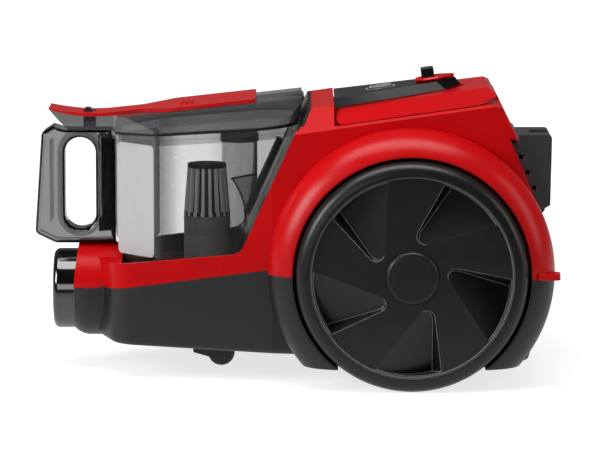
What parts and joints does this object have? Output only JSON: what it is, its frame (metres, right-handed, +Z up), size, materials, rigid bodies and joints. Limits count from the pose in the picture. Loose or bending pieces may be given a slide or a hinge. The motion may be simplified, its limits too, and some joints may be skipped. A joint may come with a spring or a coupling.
{
  "type": "canister vacuum cleaner",
  "caption": "Bagless canister vacuum cleaner with large spoked rear wheels, a swivel caster, a lift-out clear dust bin with hinged lid, a fold-up carry handle and a sliding exhaust cover.",
  "frame": {"origin": "on the floor under the middle of the overall box", "axes": "+X towards the exhaust at the rear, +Y to the machine's right side seen from behind the hose, +Z up"},
  "size_m": [0.3998, 0.27, 0.2328],
  "materials": {
    "base_black": "fine satin grain",
    "red_shell": "high gloss",
    "gloss_black": "gloss",
    "wheel_black": "satin gloss",
    "tyre_black": "gloss",
    "smoky_clear": "clear smoky",
    "pale_panel": "frosted",
    "grey_plastic": "satin",
    "button_grey": "satin",
    "seal_rubber": "matt",
    "duct_plastic": "moulded",
    "steel": "turned",
    "filter_foam": "open foam",
    "board": "printed board"
  },
  "bodies": {
    "chassis": {"axle_nuts": "steel", "axle_retainers": "steel", "base_shell": "base_black", "body_screws": "steel", "caster_cup": "base_black", "circuit_board": "board", "control_panel": "gloss_black", "cord_gland": "seal_rubber", "exhaust_filter": "filter_foam", "fan_shroud": "duct_plastic", "filter_grille": "duct_plastic", "floor_seal": "seal_rubber", "handle_pivots": "steel", "inlet_collar": "gloss_black", "inlet_duct": "duct_plastic", "inlet_seal": "seal_rubber", "left_arch": "red_shell", "left_axle": "steel", "motor_bearings": "steel", "motor_can": "steel", "motor_filter": "filter_foam", "motor_mounts": "seal_rubber", "power_switch": "board", "reel_bracket": "steel", "reel_spring_case": "duct_plastic", "right_arch": "red_shell", "right_axle": "steel", "slider_pod": "red_shell", "upper_housing": "red_shell"},
    "left_wheel": {"left_wheel_disc": "wheel_black", "left_tyre": "tyre_black", "left_hub_cap": "wheel_black"},
    "right_wheel": {"right_wheel_disc": "wheel_black", "right_tyre": "tyre_black", "right_hub_cap": "wheel_black"},
    "caster_fork": {"caster_fork": "base_black", "roller_pin": "steel"},
    "caster_roller": {"caster_roller": "tyre_black"},
    "dust_bin": {"bin_body": "smoky_clear", "hinge_pin": "steel", "lid_seal": "seal_rubber", "bin_handle": "smoky_clear", "handle_spine": "gloss_black", "label_panels": "pale_panel", "cone_filter": "gloss_black", "filter_ring": "grey_plastic", "filter_pedestal": "grey_plastic", "riser_tube": "smoky_clear", "riser_cap": "grey_plastic", "deflector_vane": "gloss_black"},
    "bin_lid": {"bin_lid": "smoky_clear", "lid_plate": "red_shell"},
    "lid_latch": {"latch_button": "gloss_black"},
    "carry_handle": {"carry_handle": "red_shell"},
    "power_button": {"power_button": "button_grey"},
    "suction_slider": {"suction_slider": "gloss_black"},
    "exhaust_cover": {"exhaust_cover": "grey_plastic"},
    "motor_rotor": {"armature": "steel", "impeller": "duct_plastic"},
    "cord_reel": {"cord_reel": "duct_plastic"}
  },
  "joints": [
    {"name": "left_wheel_spin", "type": "hinge", "parent": "chassis", "child": "left_wheel", "pos_m": [0.089, -0.118, 0.087], "axis": [0, 1, 0], "continuous": true},
    {"name": "right_wheel_spin", "type": "hinge", "parent": "chassis", "child": "right_wheel", "pos_m": [0.089, 0.118, 0.087], "axis": [0, 1, 0], "continuous": true},
    {"name": "caster_swivel", "type": "hinge", "parent": "chassis", "child": "caster_fork", "pos_m": [-0.075, 0, 0.03], "axis": [0, 0, 1], "continuous": true},
    {"name": "caster_roll", "type": "hinge", "parent": "caster_fork", "child": "caster_roller", "pos_m": [-0.056, 0, 0.0104], "axis": [0, 1, 0], "continuous": true},
    {"name": "bin_lift", "type": "slide", "parent": "chassis", "child": "dust_bin", "axis": [0, 0, 1], "range_m": [0, 0.17]},
    {"name": "lid_hinge", "type": "hinge", "parent": "dust_bin", "child": "bin_lid", "pos_m": [0.0052, 0, 0.2094], "axis": [0, 1, 0], "range_deg": [0, 70]},
    {"name": "lid_latch_press", "type": "slide", "parent": "bin_lid", "child": "lid_latch", "axis": [0, 0, -1], "range_m": [0, 0.003], "stiffness_N_per_m": 400},
    {"name": "carry_handle_fold", "type": "hinge", "parent": "chassis", "child": "carry_handle", "pos_m": [0.03695, 0, 0.20098], "axis": [0, -1, 0], "range_deg": [0, 75]},
    {"name": "power_button_press", "type": "slide", "parent": "chassis", "child": "power_button", "axis": [0.1392, 0, -0.9903], "range_m": [0, 0.0025], "stiffness_N_per_m": 600},
    {"name": "suction_slide", "type": "slide", "parent": "chassis", "child": "suction_slider", "axis": [0.9903, 0, 0.1392], "range_m": [-0.005, 0.012]},
    {"name": "exhaust_cover_pull", "type": "slide", "parent": "chassis", "child": "exhaust_cover", "axis": [1, 0, 0], "range_m": [0, 0.045]},
    {"name": "motor_spin", "type": "hinge", "parent": "chassis", "child": "motor_rotor", "pos_m": [0.075, 0, 0.112], "axis": [1, 0, 0], "continuous": true},
    {"name": "reel_spin", "type": "hinge", "parent": "chassis", "child": "cord_reel", "pos_m": [0.15, 0, 0.074], "axis": [0, 1, 0], "continuous": true}
  ]
}
